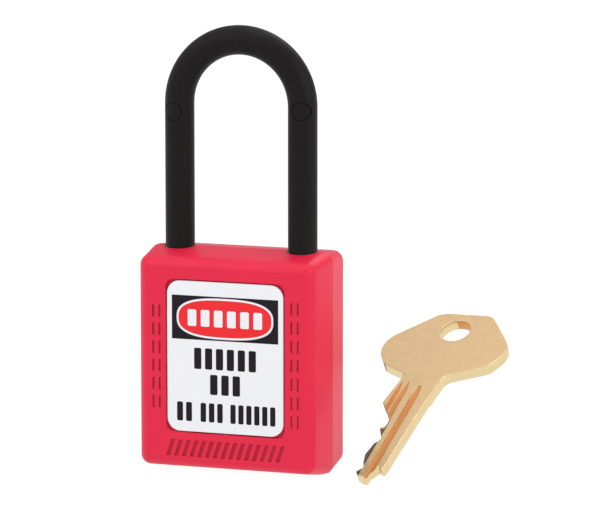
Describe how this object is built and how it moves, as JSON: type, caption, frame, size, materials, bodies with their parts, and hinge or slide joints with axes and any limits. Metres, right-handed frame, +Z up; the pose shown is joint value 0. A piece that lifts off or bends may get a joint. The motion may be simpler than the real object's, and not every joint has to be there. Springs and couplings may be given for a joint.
{
  "type": "safety padlock",
  "caption": "Safety lockout padlock with moulded plastic body, long nonmetallic shackle, pin tumbler cylinder that draws a locking bolt, and a flat key lying beside it.",
  "frame": {"origin": "on the flat land of the lock's bottom, midway between the shackle's two legs and in the plane that holds both of them, which is the body's parting plane", "axes": "+Z up along the shackle's legs, -Y out of the labelled front face, +X towards the heel leg; the key lies on the +X side"},
  "size_m": [0.0676, 0.0431, 0.0879],
  "materials": {
    "red_plastic": "satin moulded thermoplastic",
    "black_nylon": "satin moulded nylon",
    "label_print": "printed laminate",
    "grey_plastic": "moulded",
    "brass": "machined",
    "key_brass": "stamped, with milled grooves",
    "steel": "satin",
    "spring_steel": "drawn wire"
  },
  "bodies": {
    "lock_body": {"body_shell": "red_plastic", "front_label": "label_print", "rear_label": "label_print", "bottom_cover": "red_plastic", "cover_screw": "steel", "cylinder_housing": "brass", "spring_cover": "brass", "driver_pin_1": "steel", "driver_pin_2": "steel", "driver_pin_3": "steel", "driver_pin_4": "steel", "driver_pin_5": "steel", "driver_pin_6": "steel", "pin_spring_1": "spring_steel", "pin_spring_2": "spring_steel", "pin_spring_3": "spring_steel", "pin_spring_4": "spring_steel", "pin_spring_5": "spring_steel", "pin_spring_6": "spring_steel", "bolt_guide": "grey_plastic", "heel_retainer": "steel", "shackle_spring": "spring_steel"},
    "plug": {"cylinder_plug": "brass", "key_pin_1": "brass", "key_pin_2": "brass", "key_pin_3": "brass", "key_pin_4": "brass", "key_pin_5": "brass", "key_pin_6": "brass", "plug_clip": "spring_steel", "drive_cam": "steel"},
    "bolt": {"locking_bolt": "steel"},
    "shackle": {"shackle": "black_nylon"},
    "key": {"key": "key_brass"}
  },
  "joints": [
    {"name": "plug_turn", "type": "hinge", "parent": "lock_body", "child": "plug", "pos_m": [-0.007, 0, 0.0139], "axis": [0, 0, 1], "range_deg": [0, 90]},
    {"name": "bolt_slide", "type": "slide", "parent": "lock_body", "child": "bolt", "axis": [1, 0, 0], "range_m": [0, 0.003]},
    {"name": "shackle_lift", "type": "slide", "parent": "lock_body", "child": "shackle", "axis": [0, 0, 1], "range_m": [0, 0.0135], "deforming": ["shackle_spring"]},
    {"name": "key_lift", "type": "slide", "parent": "lock_body", "child": "key", "axis": [0, 0, 1], "range_m": [0, 0.06]}
  ],
  "couplings": [
    {"joint": "bolt_slide", "follows": "plug_turn", "m_per_rad": 0.0019099},
    {"joint": "shackle_lift", "follows": "plug_turn", "m_per_rad": 0.0085944}
  ]
}
